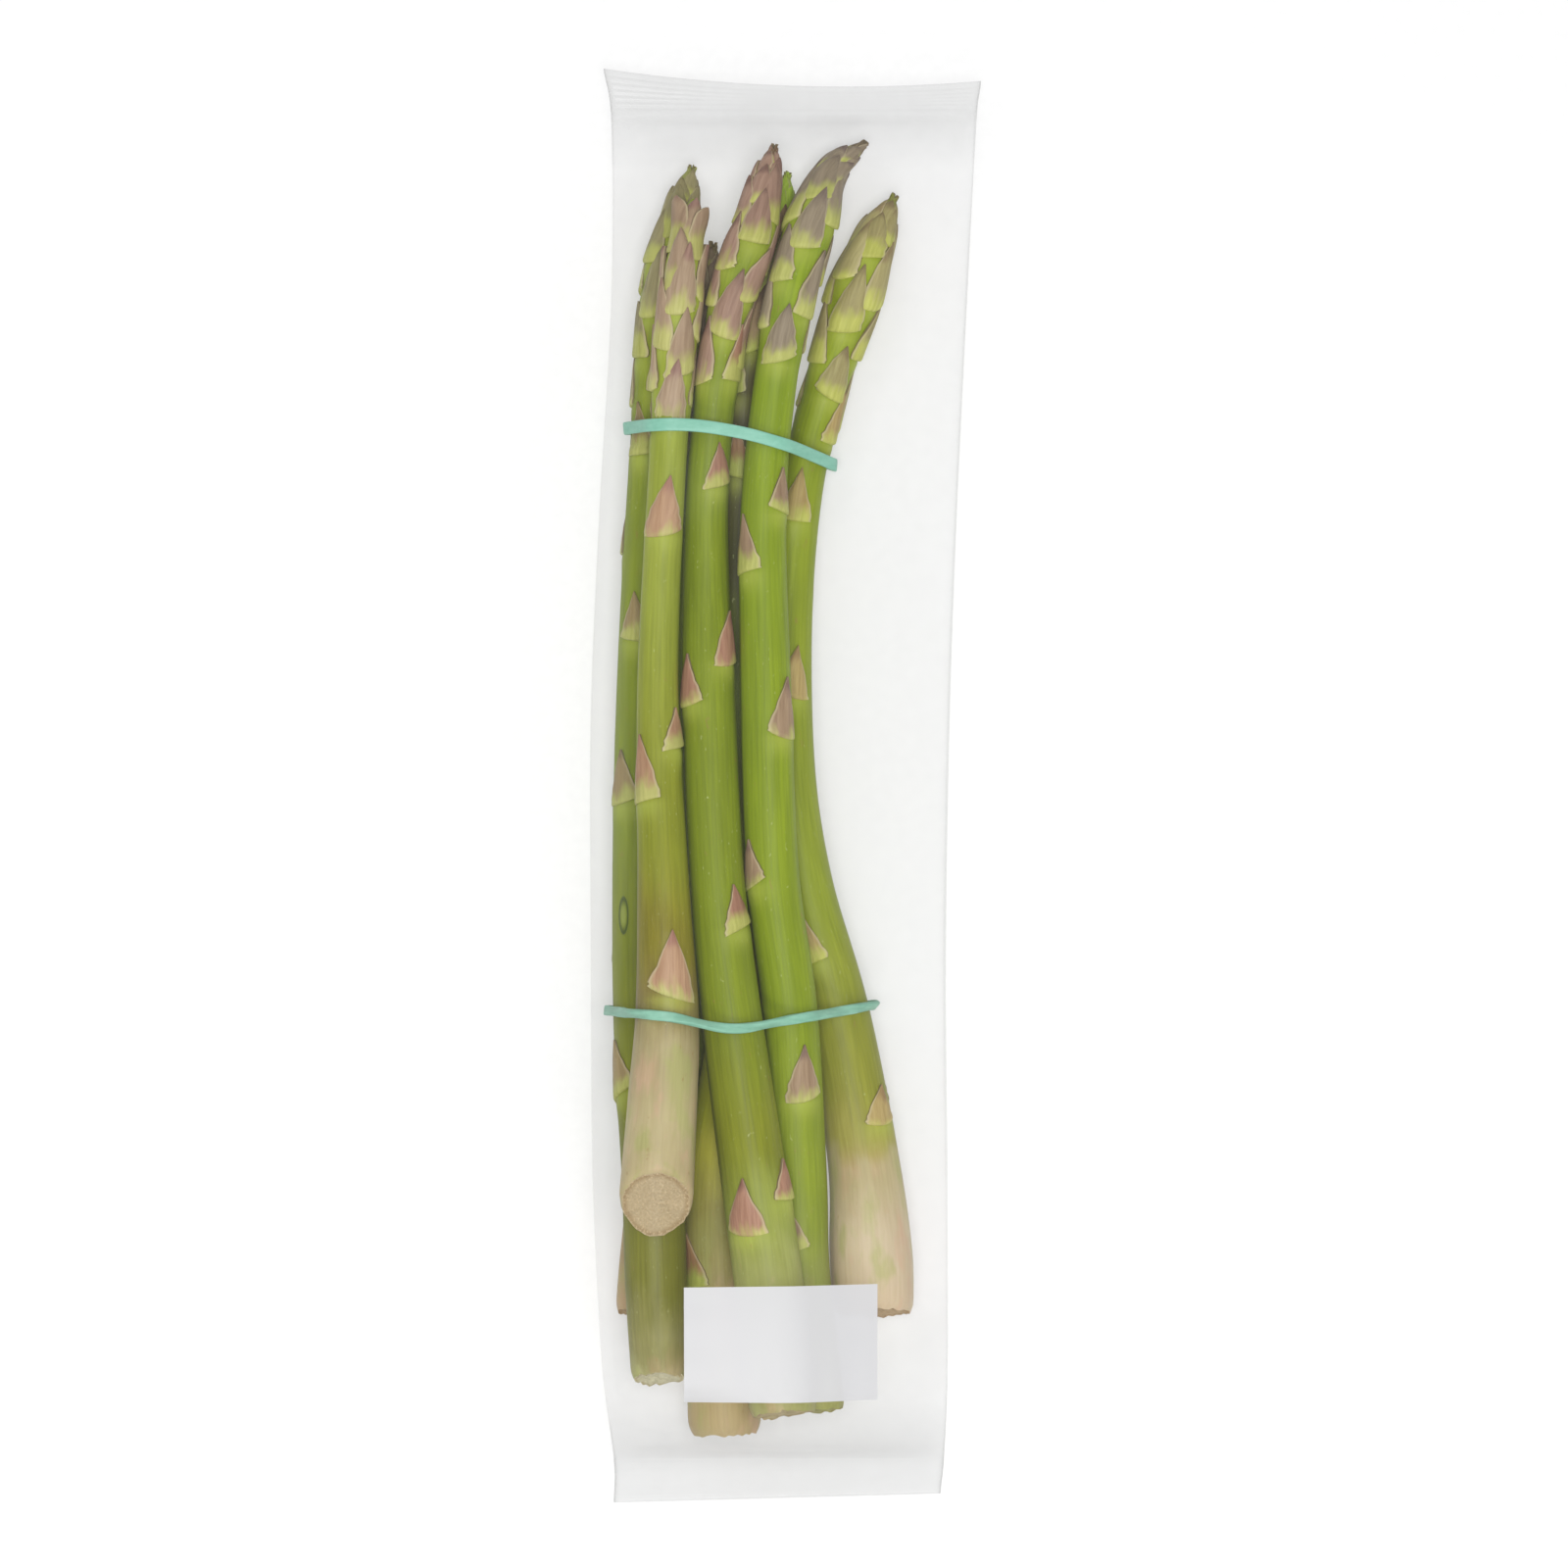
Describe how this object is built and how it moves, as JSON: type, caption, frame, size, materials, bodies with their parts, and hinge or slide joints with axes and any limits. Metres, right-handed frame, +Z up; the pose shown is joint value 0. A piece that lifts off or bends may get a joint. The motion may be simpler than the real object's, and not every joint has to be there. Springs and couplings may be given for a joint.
{
  "type": "bundle of asparagus",
  "caption": "Bundle of thick green asparagus spears with scale leaves and pointed buds, tied with pale green rubber bands and lying in a clear, sealed film bag.",
  "frame": {"origin": "on the table, under the middle of the bag's box", "axes": "+Y along the spears from the cut butts to the tips, +Z up from the back of the bag, +X to the right seen from above"},
  "size_m": [0.089, 0.326, 0.0493],
  "materials": {
    "asparagus_green": "waxy green skin",
    "asparagus_deep": "waxy dark green skin",
    "asparagus_pale": "waxy yellow-green skin",
    "band_mint": "smooth satin rubber",
    "clear_film": "clear glossy film"
  },
  "bodies": {
    "root": {"spear_left": "asparagus_deep", "spear_back_left": "asparagus_deep", "spear_back_centre": "asparagus_green", "spear_front_left": "asparagus_pale", "spear_front_centre": "asparagus_green", "spear_front_right": "asparagus_green", "spear_right": "asparagus_pale", "band_upper": "band_mint", "band_lower": "band_mint", "film_bag": "clear_film"}
  },
  "joints": []
}
